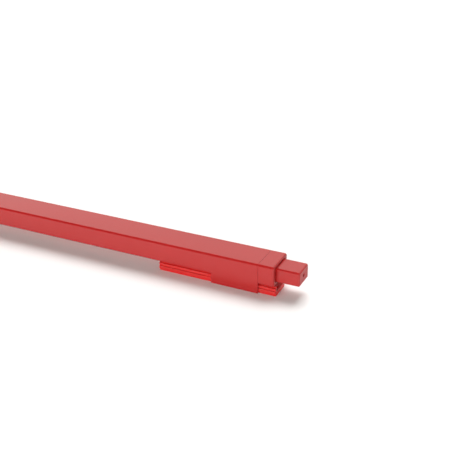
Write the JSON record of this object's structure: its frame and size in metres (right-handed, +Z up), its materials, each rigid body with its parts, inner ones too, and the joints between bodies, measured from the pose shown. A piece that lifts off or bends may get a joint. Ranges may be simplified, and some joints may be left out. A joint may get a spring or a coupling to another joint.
{
  "type": "retractable ballpoint pen",
  "caption": "Slim rectangular push-button ballpoint pen whose ribbed clip channel slides over a hard notebook cover.",
  "frame": {"origin": "middle of the bottom face of the pen's box, under the clip", "axes": "+X along the pen towards the push button, +Y towards the clip's open side, +Z up through the barrel's top face"},
  "size_m": [0.14, 0.01, 0.0095],
  "materials": {
    "red_plastic": "satin moulded ABS",
    "steel": "turned and nickel plated",
    "spring_steel": "drawn wire",
    "brass": "turned",
    "carbide": "polished",
    "white_plastic": "moulded acetal",
    "black_plastic": "moulded acetal",
    "clear_plastic": "translucent tube",
    "ink": "wet paste",
    "grease": "clear grease"
  },
  "bodies": {
    "body": {"barrel": "red_plastic", "rear_collar": "red_plastic", "clip_wall": "red_plastic", "cam_sleeve": "white_plastic", "return_spring": "spring_steel"},
    "button": {"push_button": "red_plastic", "thrust_cam": "white_plastic"},
    "refill": {"refill_end_plug": "white_plastic", "refill_tube": "clear_plastic", "grease_follower": "grease", "ink_column": "ink", "refill_tip_holder": "brass", "refill_point": "steel"},
    "rotor": {"cam_rotor": "black_plastic"},
    "ball": {"writing_ball": "carbide"},
    "tongue": {"clip_tongue": "red_plastic"},
    "nose": {"nose_cone": "steel"}
  },
  "joints": [
    {"name": "button_press", "type": "slide", "parent": "body", "child": "button", "axis": [-1, 0, 0], "range_m": [0, 0.0055], "stiffness_N_per_m": 300, "springref_m": -0.008},
    {"name": "refill_advance", "type": "slide", "parent": "body", "child": "refill", "axis": [-1, 0, 0], "range_m": [0, 0.0055], "deforming": ["return_spring"]},
    {"name": "rotor_turn", "type": "hinge", "parent": "refill", "child": "rotor", "pos_m": [0.035, 0, 0.0063], "axis": [1, 0, 0], "range_deg": [0, 45.5]},
    {"name": "ball_roll", "type": "hinge", "parent": "refill", "child": "ball", "pos_m": [-0.0683, 0, 0.0063], "axis": [0, 1, 0], "continuous": true},
    {"name": "clip_flex", "type": "hinge", "parent": "body", "child": "tongue", "pos_m": [0.0446, -0.0041, 0.001], "axis": [-1, 0, 0], "range_deg": [0, 6], "stiffness_Nm_per_rad": 0.25},
    {"name": "nose_unscrew", "type": "hinge", "parent": "body", "child": "nose", "pos_m": [-0.0518, 0, 0.0063], "axis": [1, 0, 0], "range_deg": [0, 1440]}
  ],
  "couplings": [
    {"joint": "refill_advance", "follows": "button_press", "ratio": 1},
    {"joint": "rotor_turn", "follows": "button_press", "rad_per_m": 142.8}
  ]
}
